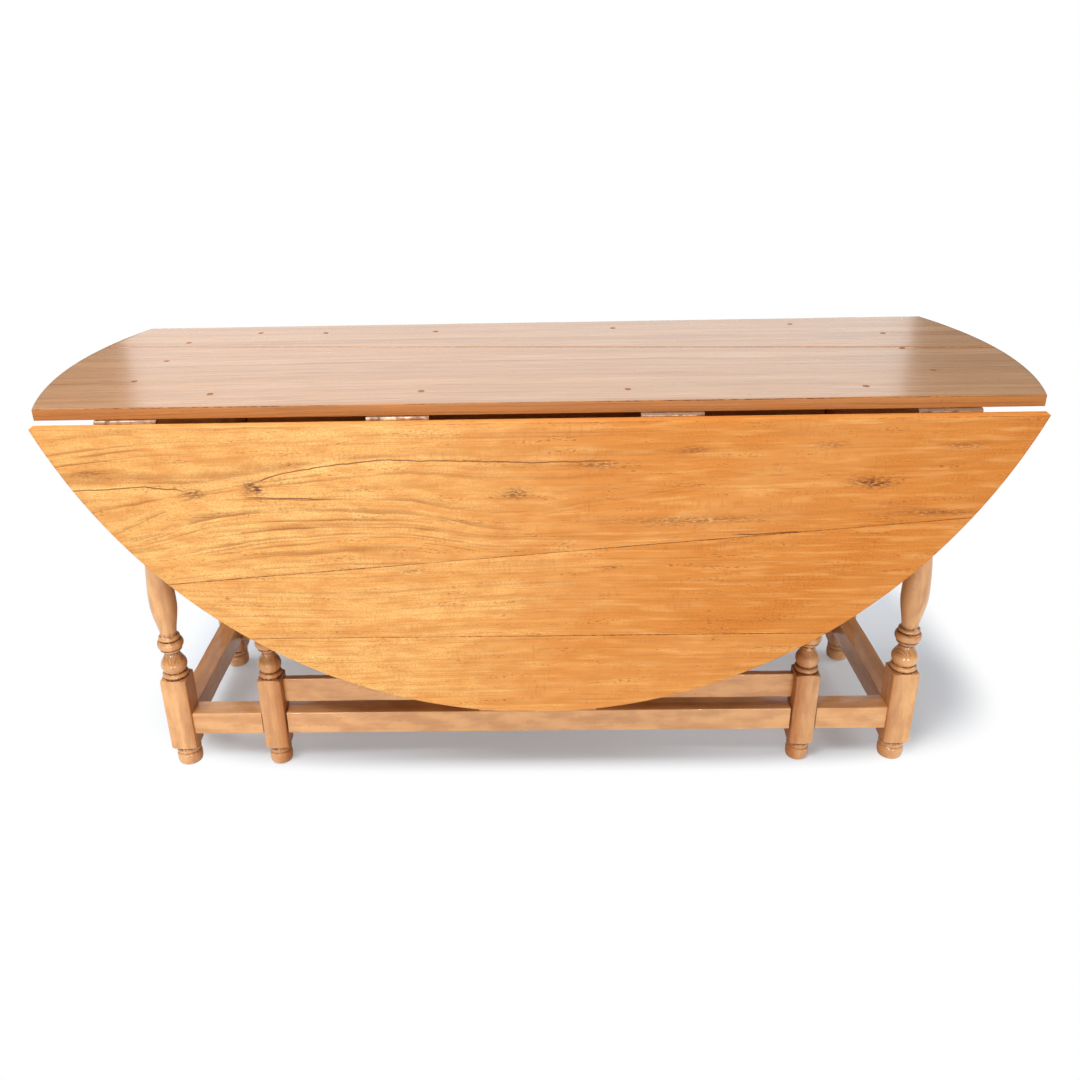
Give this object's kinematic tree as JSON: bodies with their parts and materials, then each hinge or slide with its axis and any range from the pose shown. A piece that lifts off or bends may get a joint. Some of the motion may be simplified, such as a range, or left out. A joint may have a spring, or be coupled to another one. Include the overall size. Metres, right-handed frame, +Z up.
{
  "type": "gateleg dining table",
  "caption": "Round gateleg dining table in waxed wood with drop leaves on flap hinges, swinging gates and turned baluster legs on low stretchers.",
  "frame": {"origin": "on the floor under the middle of the top", "axes": "+Z up, +X along the hinge lines to the right, +Y from the front leaf to the back leaf"},
  "size_m": [1.6959, 0.605, 0.76],
  "materials": {
    "worn_waxed_top": "worn wax",
    "honey_waxed_board": "waxed",
    "turned_frame_wood": "waxed",
    "tarnished_hinge_iron": "tarnished"
  },
  "bodies": {
    "frame": {"centre_front_board": "worn_waxed_top", "centre_back_board": "worn_waxed_top", "front_left_corner_leg": "turned_frame_wood", "front_right_corner_leg": "turned_frame_wood", "back_left_corner_leg": "turned_frame_wood", "back_right_corner_leg": "turned_frame_wood", "front_stretcher": "turned_frame_wood", "back_stretcher": "turned_frame_wood", "left_end_stretcher": "turned_frame_wood", "right_end_stretcher": "turned_frame_wood", "front_apron": "turned_frame_wood", "back_apron": "turned_frame_wood", "left_end_apron": "turned_frame_wood", "right_end_apron": "turned_frame_wood", "front_hinge_1_top_flap": "tarnished_hinge_iron", "front_hinge_1_pin": "tarnished_hinge_iron", "front_hinge_2_top_flap": "tarnished_hinge_iron", "front_hinge_2_pin": "tarnished_hinge_iron", "front_hinge_3_top_flap": "tarnished_hinge_iron", "front_hinge_3_pin": "tarnished_hinge_iron", "front_hinge_4_top_flap": "tarnished_hinge_iron", "front_hinge_4_pin": "tarnished_hinge_iron", "back_hinge_1_top_flap": "tarnished_hinge_iron", "back_hinge_1_pin": "tarnished_hinge_iron", "back_hinge_2_top_flap": "tarnished_hinge_iron", "back_hinge_2_pin": "tarnished_hinge_iron", "back_hinge_3_top_flap": "tarnished_hinge_iron", "back_hinge_3_pin": "tarnished_hinge_iron", "back_hinge_4_top_flap": "tarnished_hinge_iron", "back_hinge_4_pin": "tarnished_hinge_iron"},
    "front_leaf": {"front_leaf_hinged_board": "honey_waxed_board", "front_leaf_middle_board": "honey_waxed_board", "front_leaf_outer_board": "honey_waxed_board", "front_hinge_1_leaf_flap": "tarnished_hinge_iron", "front_hinge_2_leaf_flap": "tarnished_hinge_iron", "front_hinge_3_leaf_flap": "tarnished_hinge_iron", "front_hinge_4_leaf_flap": "tarnished_hinge_iron"},
    "back_leaf": {"back_leaf_hinged_board": "honey_waxed_board", "back_leaf_middle_board": "honey_waxed_board", "back_leaf_outer_board": "honey_waxed_board", "back_hinge_1_leaf_flap": "tarnished_hinge_iron", "back_hinge_2_leaf_flap": "tarnished_hinge_iron", "back_hinge_3_leaf_flap": "tarnished_hinge_iron", "back_hinge_4_leaf_flap": "tarnished_hinge_iron"},
    "front_left_gate": {"front_left_gate_leg": "turned_frame_wood", "front_left_gate_post": "turned_frame_wood", "front_left_gate_lower_rail": "turned_frame_wood", "front_left_gate_upper_rail": "turned_frame_wood"},
    "front_right_gate": {"front_right_gate_leg": "turned_frame_wood", "front_right_gate_post": "turned_frame_wood", "front_right_gate_lower_rail": "turned_frame_wood", "front_right_gate_upper_rail": "turned_frame_wood"},
    "back_left_gate": {"back_left_gate_leg": "turned_frame_wood", "back_left_gate_post": "turned_frame_wood", "back_left_gate_lower_rail": "turned_frame_wood", "back_left_gate_upper_rail": "turned_frame_wood"},
    "back_right_gate": {"back_right_gate_leg": "turned_frame_wood", "back_right_gate_post": "turned_frame_wood", "back_right_gate_lower_rail": "turned_frame_wood", "back_right_gate_upper_rail": "turned_frame_wood"}
  },
  "joints": [
    {"name": "front_leaf_hinge", "type": "hinge", "parent": "frame", "child": "front_leaf", "pos_m": [0, -0.279, 0.7362], "axis": [-1, 0, 0], "range_deg": [-4, 93.47]},
    {"name": "back_leaf_hinge", "type": "hinge", "parent": "frame", "child": "back_leaf", "pos_m": [0, 0.279, 0.7362], "axis": [1, 0, 0], "range_deg": [-4, 93.47]},
    {"name": "front_left_gate_pivot", "type": "hinge", "parent": "frame", "child": "front_left_gate", "pos_m": [-0.0925, -0.176, 0.38], "axis": [0, 0, 1], "range_deg": [0, 7]},
    {"name": "front_right_gate_pivot", "type": "hinge", "parent": "frame", "child": "front_right_gate", "pos_m": [0.0925, -0.176, 0.38], "axis": [0, 0, -1], "range_deg": [0, 7]},
    {"name": "back_left_gate_pivot", "type": "hinge", "parent": "frame", "child": "back_left_gate", "pos_m": [-0.0925, 0.176, 0.38], "axis": [0, 0, -1], "range_deg": [0, 7]},
    {"name": "back_right_gate_pivot", "type": "hinge", "parent": "frame", "child": "back_right_gate", "pos_m": [0.0925, 0.176, 0.38], "axis": [0, 0, 1], "range_deg": [0, 7]}
  ]
}
